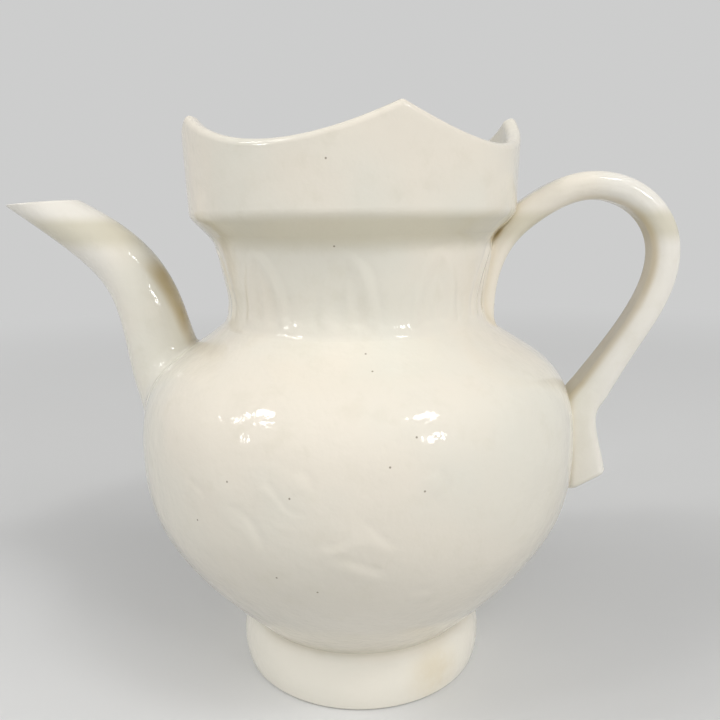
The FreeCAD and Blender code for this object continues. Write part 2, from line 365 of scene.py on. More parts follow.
def upper_bowl_line():
    poles = bowl_poles(upper_bowl_shares, neck_foot_radius, seam_level, shoulder_level)
    return bezier([(belly_radius, seam_level), *poles, (neck_foot_radius, shoulder_level)],
                  curve_points)


def neck_line():
    out, up = neck_middle_shares
    return smooth_through([(neck_foot_radius, shoulder_level),
                           (neck_waist_radius,
                            between(shoulder_level, neck_top_level, neck_waist_share)),
                           (between(neck_waist_radius, neck_top_radius, out),
                            between(shoulder_level, neck_top_level, up)),
                           (neck_top_radius, neck_top_level)], fine_spacing)


def cup_line():
    foot = (neck_top_radius, neck_top_level)
    corner = (cup_foot_radius, neck_top_level + cup_shelf_rise)
    mouth = (cup_mouth_radius, neck_top_level + cup_height)
    shelf = resampled(np.array([foot, corner]), fine_spacing)
    wall = resampled(np.array([corner, mouth]), cup_spacing)
    return np.vstack(softened(shelf, wall, cup_corner_reach))


def body_line():
    """The whole outer outline, from the foot ring up to the cup, with soft creases."""
    upper, low_bend, neck = softened(upper_bowl_line(), neck_line(), shoulder_fillet)
    neck, high_bend, cup = softened(neck, cup_line(), cup_fillet)
    return resampled(np.vstack([lower_bowl_line(), upper[1:], low_bend, neck, high_bend, cup]),
                     wall_spacing)


outline = body_line()
outline_normals = line_normals(outline)


# Fillets between the vessel and what is luted to it

def shift_at(level):
    """Sideways set of the cup against the body, at a level."""
    return -cup_shift * smooth_step(neck_top_level - cup_shift_run, neck_top_level, level)


def off_body(points):
    """Distance outside the vessel's outer surface, and the direction away from it."""
    flat = points.reshape(-1, 3)
    across = flat[:, 0] - shift_at(flat[:, 2])
    radius = np.hypot(across, flat[:, 1])
    place = np.stack([radius, flat[:, 2]], 1)
    best = np.full(len(flat), np.inf)
    distance = np.zeros(len(flat))
    normal = np.zeros((len(flat), 2))
    for i in range(len(outline) - 1):
        start = outline[i]
        span = outline[i + 1] - start
        share = np.clip(((place - start) @ span) / (span @ span), 0, 1)[:, None]
        offset = place - start - share * span
        length = np.linalg.norm(offset, axis=1)
        lean = outline_normals[i] * (1 - share) + outline_normals[i + 1] * share
        side = np.sign((offset * lean).sum(1))
        near = length < best
        best[near] = length[near]
        distance[near] = (length * side)[near]
        normal[near] = lean[near]
    turn = normal[:, 0] / np.maximum(radius, 1e-6)
    outward = np.stack([turn * across, turn * flat[:, 1], normal[:, 1]], 1)
    outward /= np.linalg.norm(outward, axis=1)[:, None]
    return distance.reshape(points.shape[:-1]), outward.reshape(points.shape)


def melt(points, normals, reach):
    """Moves a piece's surface near the vessel onto a soft fillet that runs out on it.

    Points deeper than the fillet are held just under the vessel's surface.
    """
    distance, outward = off_body(points)
    lateral = normals - (normals * outward).sum(-1, keepdims=True) * outward
    weight = np.linalg.norm(lateral, axis=-1)
    u = np.clip((reach - distance) / (2 * reach), 0, 1)
    fillet = np.where(distance < reach, reach * (1 - u)**2 - skirt_sink * u**2, distance)
    fillet = np.where(distance < -reach, np.maximum(distance + reach, -tuck_depth), fillet)
    plain = np.maximum(distance, -tuck_depth)
    height = weight * fillet + (1 - weight) * plain
    sideways = np.where(distance < reach, reach * u**2, 0)
    moved = (points + outward * (height - distance)[..., None]
             + lateral * sideways[..., None])
    return moved, distance


# Meshes

def closed_mesh(name, rings, wrap_rows=False):
    """Closed surface through rings of points. Its ends are filled, or joined to each other."""
    rows, columns = rings.shape[:2]
    index = np.arange(rows * columns).reshape(rows, columns)
    below = index if wrap_rows else index[:-1]
    above = np.roll(index, -1, axis=0) if wrap_rows else index[1:]
    corners = [below, np.roll(below, -1, axis=1), np.roll(above, -1, axis=1), above]
    faces = np.stack(corners, -1).reshape(-1, 4).tolist()
    points = rings.reshape(-1, 3)
    if not wrap_rows:
        first, last = index[0], index[-1]
        low_hub, high_hub = len(points), len(points) + 1
        points = np.vstack([points, rings[0].mean(0), rings[-1].mean(0)])
        faces += [(int(b), int(a), low_hub) for a, b in zip(first, np.roll(first, -1))]
        faces += [(int(a), int(b), high_hub) for a, b in zip(last, np.roll(last, -1))]
    mesh = bpy.data.meshes.new(name)
    mesh.from_pydata((points * MM).tolist(), [], faces)
    mesh.validate()
    mesh.shade_smooth()
    mesh.set_sharp_from_angle(angle=sharp_angle)
    piece = bpy.data.objects.new(name, mesh)
    bpy.context.scene.collection.objects.link(piece)
    if signed_volume(mesh) < 0:
        mesh.flip_normals()
    return piece


def signed_volume(mesh):
    """Volume inside a mesh, negative where its faces look inward."""
    mesh.calc_loop_triangles()
    place = np.array([vertex.co for vertex in mesh.vertices])
    corner = np.array([triangle.vertices for triangle in mesh.loop_triangles])
    a, b, c = place[corner[:, 0]], place[corner[:, 1]], place[corner[:, 2]]
    return float((a * np.cross(b, c)).sum() / 6)


def paint(piece, name, values):
    """Stores one number per point of a piece, for its glaze to read."""
    layer = piece.data.attributes.new(name, "FLOAT", "POINT")
    full = np.zeros(len(piece.data.vertices), np.float32)
    full[:values.size] = values.ravel()
    layer.data.foreach_set("value", full)


def seat(piece, node):
    """Puts a finished piece in the place of its solid."""
    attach(piece, "root")
    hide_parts(node)


def bearings(steps):
    return np.linspace(0, 2 * math.pi, steps, endpoint=False)


def spun(rows, angle):
    """Rows of radius and level, or of a direction, carried round the axis."""
    return np.stack([rows[:, :1] * np.cos(angle), rows[:, :1] * np.sin(angle),
                     np.repeat(rows[:, 1:2], len(angle), 1)], 2)


def turned(line, steps, relief=None):
    """Rings of a turned surface, with any relief standing square to it."""
    line = np.array(line, float)
    angle = bearings(steps)
    rings = spun(line, angle)
    if relief is None:
        return rings
    return rings + spun(line_normals(line), angle) * relief(line, angle)[..., None]


# Both bowls, with their faint pressed foliage

def pressed_line(height, stroke, repeat, level, angle):
    """Adds one pressed line to the heights of a wall. The line runs out at its ends."""
    turns = np.radians([bearing for bearing, _ in stroke])
    middle = turns.mean()
    path = smooth_through([((turn - middle) * belly_radius, up)
                           for turn, (_, up) in zip(turns, stroke)], wall_spacing)
    lead = np.gradient(path, axis=0)
    lead /= np.linalg.norm(lead, axis=1)[:, None]
    middle += repeat * 2 * math.pi / leaf_repeats
    around = ((angle - middle + math.pi) % (2 * math.pi) - math.pi) * belly_radius
    low, high = path.min(0) - leaf_margin, path.max(0) + leaf_margin
    rows = np.flatnonzero((level > low[1]) & (level < high[1]))
    columns = np.flatnonzero((around > low[0]) & (around < high[0]))
    if not len(rows) or not len(columns):
        return
    x, z = np.meshgrid(around[columns], level[rows])
    away = np.hypot(x[..., None] - path[:, 0], z[..., None] - path[:, 1])
    nearest = away.argmin(-1)
    distance = away.min(-1)
    bank_side = np.sign((x - path[nearest, 0]) * lead[nearest, 1]
                        - (z - path[nearest, 1]) * lead[nearest, 0])
    share = nearest / (len(path) - 1)
    strength = smooth_step(0, leaf_rise_share, share) * (1 - smooth_step(leaf_fall_share, 1, share))
    groove = leaf_depth * np.exp(-(distance / leaf_width)**2)
    bank = bank_height * np.exp(-((distance * bank_side - bank_reach) / bank_width)**2)
    height[np.ix_(rows, columns)] += strength * (bank - groove)


def leaf_relief(line, angle):
    """Height of the foliage on a turned wall. It never goes past the belly's radius."""
    height = np.zeros((len(line), len(angle)))
    for repeat in range(leaf_repeats):
        for stroke in leaf_lines:
            pressed_line(height, stroke, repeat, line[:, 1], angle)
    return np.minimum(height, (belly_radius - line[:, 0])[:, None])


def inner_wall(outer):
    """Inner line of a bowl's wall, from the end of its outer line back to the start."""
    return (outer - line_normals(outer) * body_wall)[::-inner_stride]


def make_lower_bowl():
    outer = resampled(lower_bowl_line(), wall_spacing)
    outside_ring, inside_ring = floor_ring_radii
    lap_level = foot_level - foot_lap
    under = [(floor_hub_radius, recess_level), (outside_ring, recess_level),
             (foot_seat_radius, recess_level), (foot_seat_radius, lap_level),
             (foot_top_radius - foot_lap_inset, lap_level)]
    floor_level = recess_level + floor_thickness
    wall = inner_wall(outer)
    wall = wall[wall[:, 1] > floor_level + floor_bend_rise]
    ahead_share, edge_share, corner_share = floor_bend_shares
    bend = bezier([wall[-1], wall[-1] + ahead_share * (wall[-1] - wall[-2]),
                   (foot_top_radius * edge_share, floor_level),
                   (foot_top_radius * corner_share, floor_level)], end_points)
    inner = np.vstack([wall, bend[1:], [(inside_ring, floor_level),
                                        (floor_hub_radius, floor_level)]])
    rings = np.concatenate([turned(under, round_steps), turned(outer, round_steps, leaf_relief),
                            turned(inner, round_steps)])
    piece = closed_mesh("lower_bowl_glazed", rings)
    seat(piece, "lower_bowl")
    return piece


def make_upper_bowl():
    outer = resampled(upper_bowl_line(), wall_spacing)
    wall = inner_wall(outer)
    wall = wall[wall[:, 0] > neck_bore_radius + throat_clearance]
    inner = np.vstack([[(neck_bore_radius, shoulder_level)], wall,
                       [(belly_radius - body_wall, seam_level)]])
    rings = np.concatenate([turned(outer, round_steps, leaf_relief),
                            turned(inner, round_steps)])
    piece = closed_mesh("upper_bowl_glazed", rings, wrap_rows=True)
    seat(piece, "upper_bowl")
    return piece


# Neck with a ring of carved lotus petals

def ridge(shape, distance):
    """Soft ridge, or groove, of a height, a place and a half width."""
    height, place, half_width = shape
    return height * np.exp(-((distance - place) / half_width)**2)


def petal_relief(line, angle):
    """Height of upright petals: a soft raised rim, a hollow inside it and a vein."""
    level = line[:, 1]
    up = np.linspace(petal_start_share, 1, petal_points)
    rise_power, side_power = petal_side_powers
    half_width = (1 - np.clip(up, 0, 1)**rise_power)**side_power * petal_width / 2
    rim = resampled(np.stack([half_width, petal_foot + up * petal_height], 1), fine_spacing)
    pitch = 2 * math.pi * neck_waist_radius / petal_count
    turn = (angle[:petal_steps] - petal_phase) * petal_count / (2 * math.pi)
    across = np.abs((turn + 0.5) % 1 - 0.5) * pitch
    x, z = np.meshgrid(across, level)
    away = np.hypot(x[..., None] - rim[:, 0], z[..., None] - rim[:, 1]).min(-1)
    inside = (x < np.interp(z, rim[:, 1], rim[:, 0])) & (z < rim[-1, 1])
    inward = np.where(inside, away, -away)
    share = (z - petal_foot) / petal_height
    height = (ridge(petal_rim, inward) + ridge(petal_groove, inward)
              + ridge(petal_hollow, inward)
              + ridge(petal_vein, x) * (1 - smooth_step(*petal_vein_end_shares, share)))
    height *= smooth_step(*petal_foot_shares, share) * (1 - smooth_step(*petal_top_shares, share))
    return np.tile(height, (1, petal_count))


def make_neck():
    _, low_bend, neck = softened(upper_bowl_line(), neck_line(), shoulder_fillet)
    neck, high_bend, _ = softened(neck, cup_line(), cup_fillet)
    outer = resampled(np.vstack([low_bend, neck, high_bend]), neck_spacing)
    low_end, high_end = (outer - line_normals(outer) * tuck_depth)[[0, -1]]
    steps = petal_count * petal_steps
    rings = np.concatenate([turned([(neck_bore_radius, shoulder_level), low_end], steps),
                            turned(outer, steps, petal_relief),
                            turned([high_end, (neck_throat_radius, neck_top_level)], steps)])
    rings[..., 0] += shift_at(rings[..., 2])
    piece = closed_mesh("neck_glazed", rings, wrap_rows=True)
    seat(piece, "neck")
    return piece


# Swept pieces: rings stand square to a path in the XZ plane

def sides(path):
    """Directions square to a path, in its plane."""
    tangent = np.gradient(path, axis=0)
    tangent /= np.linalg.norm(tangent, axis=1)[:, None]
    return np.stack([tangent[:, 1], -tangent[:, 0]], 1)


# Spout

spout_root_level = seam_level + spout_root_rise
beak_corner = (-belly_full_radius - spout_reach, spout_root_level + spout_height)


def spout_stations():
    """X, level and outer radius of each station, from the root in the wall to the tip."""
    stations = [(-belly_full_radius - out * spout_reach, spout_root_level + up * spout_height,
                 between(spout_tip_radius, spout_root_radius, thick))
                for out, up, thick in spout_station_shares]
    return np.round(stations, station_decimals)


def spout_tube(angle, tip_wall, root_wall):
    """Rings of the spout drawn in by a wall, and their outward directions."""
    stations = smooth_through(spout_stations(), tube_spacing)
    path, radius = stations[:, :2], stations[:, 2]
    share = (radius - spout_tip_radius) / (spout_root_radius - spout_tip_radius)
    radius = radius - between(tip_wall, root_wall, share)
    side = sides(path)
    out = np.stack([side[:, :1] * np.cos(angle), np.repeat(np.sin(angle)[None], len(path), 0),
                    side[:, 1:] * np.cos(angle)], 2)
    center = np.stack([path[:, 0], np.zeros(len(path)), path[:, 1]], 1)
    return center[:, None] + out * radius[:, None, None], out


def above_beak(points):
    """Height of points above the slanting cut that leaves the beak."""
    corner_x, corner_level = beak_corner
    return points[..., 2] - corner_level - math.tan(beak_slope) * (points[..., 0] - corner_x)


def trimmed_column(column, rows):
    """A column of the spout up to the beak's cut: evenly spread points, and its end."""
    height = above_beak(column)
    over = int(np.argmax(height > 0))
    share = -height[over - 1] / (height[over] - height[over - 1])
    end = between(column[over - 1], column[over], share)
    kept = np.vstack([column[:over], end])
    run = run_of(kept)
    return along_line(kept, run, np.linspace(0, run[-1] - lip_round, rows)), end


def rounded_lip(wall_out, end_out, end_in, wall_in):
    """Points that round the two edges of the beak's cut."""
    middle = (end_out + end_in) / 2
    t = np.linspace(0, 1, lip_points)[1:, None]
    first = (1 - t)**2 * wall_out + 2 * (1 - t) * t * end_out + t**2 * middle
    second = (1 - t)**2 * middle + 2 * (1 - t) * t * end_in + t**2 * wall_in
    return np.vstack([first, second[:-1]])


def spout_pooling(angle):
    """Glaze pooled along the spout's inner side, strongest below its middle."""
    along = np.linspace(0, 1, spout_rows)[:, None]
    wind = spout_pool_wind * (along - spout_pool_straight_share)
    facing = smooth_step(*spout_pool_facing, np.cos(angle + wind))
    rise = between(spout_pool_least, 1, smooth_step(*spout_pool_rise_shares, along))
    return spout_pool * facing * rise * (1 - smooth_step(*spout_pool_fall_shares, along))


def make_spout():
    angle = bearings(tube_steps)
    outer, outer_out = spout_tube(angle, 0, 0)
    bore, bore_out = spout_tube(angle, spout_tip_wall, spout_wall)
    crook = smooth_step(*spout_crook_facing, np.cos(angle))[None, :]
    outer, _ = melt(outer, outer_out, between(spout_melt, spout_crook_melt, crook))
    bore, _ = melt(bore, -bore_out, spout_bore_melt)
    columns = []
    for j in range(tube_steps):
        wall_out, end_out = trimmed_column(outer[:, j], spout_rows)
        wall_in, end_in = trimmed_column(bore[:, j], bore_rows)
        lip = rounded_lip(wall_out[-1], end_out, end_in, wall_in[-1])
        columns.append(np.vstack([wall_out, lip, wall_in[::-1]]))
    rings = np.stack(columns, 1)
    beyond = np.maximum(nose_front + nose_round - rings[..., 0], 0)
    rings[..., 0] += beyond - nose_round * np.tanh(beyond / nose_round)
    piece = closed_mesh("spout_glazed", rings, wrap_rows=True)
    seat(piece, "spout")
    paint(piece, "pooled_and_shade", spout_pooling(angle))
    return piece


# Handle

def neck_lean(level):
    """How far the neck's side leans out over its waist, at a level."""
    waist_level = between(shoulder_level, neck_top_level, neck_waist_share)
    share = (level - waist_level) / (neck_top_level - waist_level)
    return (neck_top_radius - neck_waist_radius) * min(1.0, max(0.0, share))


def strap_stations():
    """X, level, thickness and width of each station, from the neck over to the belly."""
    root = neck_waist_radius + strap_stand_off - strap_root_thickness / 2
    last = len(strap_station_shares) - 1
    stations = []
    for index, (out, up) in enumerate(strap_station_shares):
        level = between(seam_level, neck_top_level + handle_crown, up)
        x = between(root + neck_lean(level), belly_full_radius + handle_reach, out)
        share = min(1.0, index / last / strap_root_share)
        stations.append((x, level, between(strap_root_thickness, strap_thickness, share),
                         between(strap_root_width, strap_width, share)))
    stations[-1] = stations[-1][:2] + (strap_end_thickness, tail_top_width)
    return np.round(stations, station_decimals)


def tail_stations(top_x, top_level):
    """X, level, thickness, width and turn of each section, from the strap's end down."""
    outer = belly_full_radius + tail_stand_off
    stations = [(top_x, top_level, strap_end_thickness, tail_top_width, tail_top_turn)]
    for down, flare in tail_station_shares:
        stations.append((outer + tail_flare * flare - tail_thickness / 2,
                         top_level - tail_length * down, tail_thickness,
                         between(tail_top_width, tail_end_width, down), 0.0))
    slope = math.radians(tail_end_turn)
    stations.append((outer + tail_flare - tail_end_thickness / 2 * math.cos(slope),
                     top_level - tail_length - tail_end_thickness / 2 * math.sin(slope),
                     tail_end_thickness, tail_end_width, tail_end_turn))
    return np.round(stations, station_decimals)


def rounded_outline(half_x, half_y, corner, steps):
    """Points and outward directions round a rectangle with rounded corners."""
    quarter = steps // 4
    flats, bends = quarter // 3, quarter - quarter // 3
    points, normals = [], []
    for turn, (half, side) in zip(range(4), ((half_x, half_y), (half_y, half_x)) * 2):
        flat = np.linspace(corner - side, side - corner, flats, endpoint=False)
        swing = np.linspace(0, math.pi / 2, bends, endpoint=False)
        x = np.concatenate([np.full(flats, half), half - corner + corner * np.cos(swing)])
        y = np.concatenate([flat, side - corner + corner * np.sin(swing)])
        nx = np.concatenate([np.ones(flats), np.cos(swing)])
        ny = np.concatenate([np.zeros(flats), np.sin(swing)])
        c, s = round(math.cos(turn * math.pi / 2)), round(math.sin(turn * math.pi / 2))
        points.append(np.stack([c * x - s * y, s * x + c * y], 1))
        normals.append(np.stack([c * nx - s * ny, s * nx + c * ny], 1))
    return np.vstack(points), np.vstack(normals)


def in_section(flat, across):
    """Flat points of a section, stood square to the path."""
    return np.stack([flat[:, 0] * across[0], flat[:, 1], flat[:, 0] * across[1]], 1)


def swept_rings(rows, side, corners):
    """Rings of rounded rectangles along rows of X, level, thickness and width."""
    rings, outs = [], []
    for (x, level, thickness, width), across, corner in zip(rows[:, :4], side, corners):
        flat, normal = rounded_outline(thickness / 2, width / 2, corner, tube_steps)
        rings.append(in_section(flat, across) + (x, 0, level))
        outs.append(in_section(normal, across))
    return np.array(rings), np.array(outs)


def inner_facing(outs, side):
    """How much of each point of a swept piece faces the inner side of its bend."""
    inner_side = outs[..., 0] * side[:, None, 0] + outs[..., 2] * side[:, None, 1]
    return smooth_step(*inner_face_range, inner_side)


def joint_pool_and_shade(distance, width):
    """Glaze that gathers where a piece meets the vessel, with painted shade in the joint."""
    return crease_pool_and_shade * np.exp(-(distance / width)**2)


def make_handle_strap():
    rows = smooth_through(strap_stations(), strap_spacing)
    side = sides(rows[:, :2])
    along = np.linspace(0, 1, len(rows))
    corners = np.interp(along, (0, *strap_middle_shares, 1),
                        (strap_end_corner, strap_middle_corner, strap_middle_corner,
                         strap_end_corner))
    rings, outs = swept_rings(rows, side, corners)
    rings, distance = melt(rings, outs, strap_melt)
    piece = closed_mesh("handle_strap_glazed", rings)
    seat(piece, "handle_strap")
    # Yellow-brown on the strap's inner face and along its joint: pooled glaze with painted shade
    rise = smooth_step(*strap_inner_rise_shares, along)[:, None]
    pooled_and_shade = handle_pool_and_shade * inner_facing(outs, side) * rise
    paint(piece, "pooled_and_shade", np.maximum(pooled_and_shade, joint_pool_and_shade(distance, strap_crease_width)))
    return piece


def rounded_end(last, last_out, down):
    """Rings that round a section off towards its end and close it, with their directions."""
    cap, cap_out = [], []
    for ease in np.linspace(0, math.pi / 2, end_points)[1:]:
        inward = tail_round * (1 - math.cos(ease))
        cap.append(last - last_out * inward + down * tail_round * math.sin(ease))
        cap_out.append(last_out * math.cos(ease) + down * math.sin(ease))
    middle = cap[-1].mean(0)
    rim = cap[-1]
    for share in tail_fill_shares:
        cap.append(between(middle, rim, share))
        cap_out.append(cap_out[-1])
    return np.array(cap), np.array(cap_out)


def make_handle_tail():
    rows = smooth_through(tail_stations(*strap_stations()[-1][:2]), tube_spacing)
    turn = np.radians(rows[:, 4])
    side = np.stack([-np.cos(turn), -np.sin(turn)], 1)
    rings, outs = swept_rings(rows, side, np.full(len(rows), tail_corner))
    run = run_of(rows[:, :2])
    # Yellow-brown on the tail's inner face, fading down it: pooled glaze with painted shade
    fall = 1 - smooth_step(*tail_inner_fall, run)[:, None]
    pooled_and_shade = handle_pool_and_shade * inner_facing(outs, side) * fall
    kept = run < run[-1] - tail_round
    down = np.array([math.sin(turn[-1]), 0, -math.cos(turn[-1])])
    cap, cap_out = rounded_end(rings[kept][-1], outs[kept][-1], down)
    rings = np.concatenate([rings[kept], cap])
    outs = np.concatenate([outs[kept], cap_out])
    rings, distance = melt(rings, outs, tail_melt)
    piece = closed_mesh("handle_tail_glazed", rings)
    seat(piece, "handle_tail")
    # Yellow-brown along the tail's joint with the belly: pooled glaze with painted shade
    tint = joint_pool_and_shade(distance, tail_crease_width)
    tint[:kept.sum()] = np.maximum(tint[:kept.sum()], pooled_and_shade[kept])
    paint(piece, "pooled_and_shade", tint)
    return piece


# Materials

class Nodes:
    """Short names for making the nodes of a material or a world."""

    def __init__(self, owner):
        owner.use_nodes = True
        self.tree = owner.node_tree
        self.tree.nodes.clear()

    def add(self, kind, inputs=(), **settings):
        node = self.tree.nodes.new(kind)
        for key, value in settings.items():
            setattr(node, key, value)
        for key, value in dict(inputs).items():
            self.put(node.inputs[key], value)
        return node

    def put(self, socket, value):
        if isinstance(value, bpy.types.NodeSocket):
            self.tree.links.new(value, socket)
        else:
            socket.default_value = value

    def math(self, operation, a, b=0.0, clamp=False):
        node = self.add("ShaderNodeMath", {0: a, 1: b}, operation=operation, use_clamp=clamp)
        return node.outputs[0]

    def vector(self, operation, a, b=(0, 0, 0)):
        return self.add("ShaderNodeVectorMath", {0: a, 1: b}, operation=operation).outputs

    def distance(self, a, b):
        return self.vector("DISTANCE", a, b)["Value"]

    def length(self, a):
        return self.vector("LENGTH", a)["Value"]

    def ramp(self, value, low, high, out_low=0.0, out_high=1.0):
        node = self.add("ShaderNodeMapRange",
                        {"Value": value, "From Min": low, "From Max": high,
                         "To Min": out_low, "To Max": out_high}, interpolation_type="SMOOTHSTEP")
        return node.outputs["Result"]

    def noise(self, place, scale, detail=2.0, roughness=0.5):
        node = self.add("ShaderNodeTexNoise", {"Vector": place, "Scale": scale, "Detail": detail,
                                               "Roughness": roughness})
        return node.outputs["Fac"]

    def mix(self, share, a, b):
        node = self.add("ShaderNodeMix", data_type="RGBA")
        for key, value in ((0, share), (6, a), (7, b)):
            self.put(node.inputs[key], value)
        return node.outputs[2]

    def mix_shaders(self, share, a, b):
        return self.add("ShaderNodeMixShader", {0: share, 1: a, 2: b}).outputs[0]

    def seen_plainly(self):
        """1 for what the camera sees directly, or through a gloss or a glass, else 0."""
        path = self.add("ShaderNodeLightPath").outputs
        return self.math("MAXIMUM", path["Is Camera Ray"],
                         self.math("MAXIMUM", path["Is Glossy Ray"],
                                   path["Is Transmission Ray"]))

    def finish(self, shader, kind="ShaderNodeOutputMaterial"):
        self.put(self.add(kind).inputs["Surface"], shader)


# Colours of the glaze
glaze_color = (0.80, 0.765, 0.68, 1)
warm_color = (0.82, 0.755, 0.655, 1)
cool_color = (0.745, 0.74, 0.665, 1)
# Yellow-brown of pooled glaze, also used as painted shade on the handle and its joints
pool_and_shade_color = (0.53, 0.42, 0.22, 1)
# Painted shade: this colour makes the lower body darker
lower_shade_color = (0.705, 0.668, 0.588, 1)
thin_color = (0.81, 0.79, 0.74, 1)
# Painted light: this colour makes the foot lighter
foot_light_color = (0.86, 0.83, 0.745, 1)
tint_color = (0.76, 0.68, 0.52, 1)
# Darker glaze for the random grain, also used as painted shade under the cup and in the crease
# above the foot
dark_glaze_and_shade_color = (0.62, 0.585, 0.46, 1)
speck_color = (0.16, 0.12, 0.07, 1)
stain_color = (0.09, 0.045, 0.008, 1)
stain_halo_color = (0.45, 0.32, 0.10, 1)

# Where each tone starts and ends, and how strong it is at either end. All go by the
# level, but thin_tone goes by the distance from the axis.
# Painted shade: the lower body darker towards the bottom, stopping above the foot
lower_shade_tone = (0.034, 0.070, 0.85, 0.0)
lower_shade_tone_start = (0.0115, 0.0135)
thin_tone = (0.0488, 0.058, 0.0, 0.8)
# Painted shade, with darker glaze, in the band under the cup
under_cup_start = (0.0952, 0.0992)
under_cup_end = (0.1015, 0.1045, 0.75, 0.0)
# Painted shade, with darker glaze, in the crease above the foot
above_foot_start = (0.0118, 0.0128)
above_foot_end = (0.0134, 0.0165, 0.35, 0.0)
# Painted light on the foot
foot_light_tone = (0.0105, 0.0125, 0.8, 0.0)

# Patterns of the glaze: how fine each noise is, then from which to which of its values
# it works, and how strongly at either end
cloud_scale, cloud_range = 28.0, (0.38, 0.62)
grain_scale, grain_range = 190.0, (0.5, 0.75, 0.0, 0.16)
blotch_scale, blotch_range = 90.0, (0.3, 0.7, 0.6, 1.0)
gloss_scale, gloss_range = 240.0, (0.35, 0.7, 0.055, 0.12)
speck_scale, speck_range, speck_chances = 95.0, (0.018, 0.034, 1.0, 0.0), (0.95, 0.97)
wave_scale, wave_height = 75.0, 0.0006
pit_scale, pit_height = 520.0, 0.00008
ivory_share = 0.5
pool_and_shade_share = 0.75
speck_share = 0.75
glaze_ior = 1.5

# Warm patch on the foot, and the brown stain in the joint of the strap and the cup
tint_place = (0.0166, -0.0228, 0.006)
tint_radius = 0.009
tint_core_share = 0.2
tint_strength = 0.7
tint_grain_range = (0.3, 0.6, 0.5, 1.0)
stain_place = (0.0301, -0.0078, 0.0993)
stain_size = (0.0021, 0.0058, 0.0031)
stain_lean = math.radians(38)
stain_core_range = (0.2, 0.8, 1.0, 0.0)
stain_edge_range = (0.5, 1.1, 0.95, 0.0)

# Pinholes in the glaze: bearing in degrees and level in millimetres of each
pinholes = ((275, 78), (278.5, 61.5), (284.5, 66), (285.5, 57), (243.5, 57.5),
            (258, 56), (253.5, 40), (262.5, 37.5), (234, 48.5), (276.5, 75.5),
            (264.5, 112.5), (265, 97.5), (95, 60), (130, 44), (40, 70))
pinhole_radius = 0.0002
pinhole_edge_shares = (0.5, 1.3)


def clay_tones(n, place, fine):
    """Ivory that changes slowly over the vessel. Painted shade darkens the lower body, the band
    under the cup and the crease above the foot, where the glaze is also darker, and painted light
    brightens the foot.
    """
    level = n.add("ShaderNodeSeparateXYZ", {0: place}).outputs["Z"]
    clouds = n.ramp(n.noise(place, cloud_scale, 3.0), *cloud_range)
    color = n.mix(clouds, cool_color, warm_color)
    color = n.mix(ivory_share, color, glaze_color)
    # Painted shade: darker towards the bottom of the body
    lower = n.math("MULTIPLY", n.ramp(level, *lower_shade_tone), n.ramp(level, *lower_shade_tone_start))
    color = n.mix(lower, color, lower_shade_color)
    from_axis = n.length(n.vector("MULTIPLY", place, (1, 1, 0))[0])
    color = n.mix(n.ramp(from_axis, *thin_tone), color, thin_color)
    color = n.mix(n.ramp(fine, *grain_range), color, dark_glaze_and_shade_color)
    # Painted shade, with darker glaze, under the cup and in the crease above the foot
    under_cup = n.math("MULTIPLY", n.ramp(level, *under_cup_start),
                       n.ramp(level, *under_cup_end))
    above_foot = n.math("MULTIPLY", n.ramp(level, *above_foot_start),
                        n.ramp(level, *above_foot_end))
    color = n.mix(n.math("ADD", under_cup, above_foot, clamp=True), color, dark_glaze_and_shade_color)
    # Painted light: the foot lighter
    color = n.mix(n.ramp(level, *foot_light_tone), color, foot_light_color)
    near_tint = n.ramp(n.distance(place, tint_place), tint_core_share * tint_radius, tint_radius,
                       tint_strength, 0.0)
    tint = n.math("MULTIPLY", near_tint, n.ramp(fine, *tint_grain_range))
    return n.mix(tint, color, tint_color)


def pool_and_shade_tone(n, place, color):
    """Yellow-brown where the pieces ask for it: pooled glaze on the spout, pooled glaze with
    painted shade on the handle's inner face and joints.
    """
    pooled_and_shade = n.add("ShaderNodeAttribute", attribute_name="pooled_and_shade").outputs["Fac"]
    blotch = n.ramp(n.noise(place, blotch_scale), *blotch_range)
    share = n.math("MULTIPLY", pooled_and_shade, n.math("MULTIPLY", blotch, pool_and_shade_share))
    return n.mix(share, color, pool_and_shade_color)


def specks(n, place, color):
    """Dark pinholes, some at random and some at places of their own."""
    cells = n.add("ShaderNodeTexVoronoi", {"Vector": place, "Scale": speck_scale,
                                           "Randomness": 1.0})
    chance = n.add("ShaderNodeSeparateColor", {0: cells.outputs["Color"]}).outputs[0]
    dot = n.ramp(cells.outputs["Distance"], *speck_range)
    speck = n.math("MULTIPLY", dot, n.ramp(chance, *speck_chances))
    inner_edge, outer_edge = (share * pinhole_radius for share in pinhole_edge_shares)
    for bearing, level in pinholes:
        radius = np.interp(level, outline[:, 1], outline[:, 0]) * MM
        turn = math.radians(bearing)
        center = (radius * math.cos(turn), radius * math.sin(turn), level * MM)
        hole = n.ramp(n.distance(place, center), inner_edge, outer_edge, 1.0, 0.0)
        speck = n.math("MAXIMUM", speck, hole)
    return n.mix(n.math("MULTIPLY", speck, speck_share), color, speck_color)


def stained(n, place, color):
    """Leaning oval of brown with a golden edge."""
    aside = n.vector("SUBTRACT", place, stain_place)[0]
    upright = n.add("ShaderNodeVectorRotate", {"Vector": aside, "Angle": -stain_lean},
                    rotation_type="Y_AXIS").outputs[0]
    size = n.length(n.vector("DIVIDE", upright, stain_size)[0])
    stain = n.mix(n.ramp(size, *stain_core_range), stain_halo_color, stain_color)
    return n.mix(n.ramp(size, *stain_edge_range), color, stain)


def bumped(n, height, distance, **below):
    """Normal of a fine relief, on top of any coarser one."""
    return n.add("ShaderNodeBump", {"Strength": 1.0, "Distance": distance, "Height": height,
                                    **below}).outputs[0]


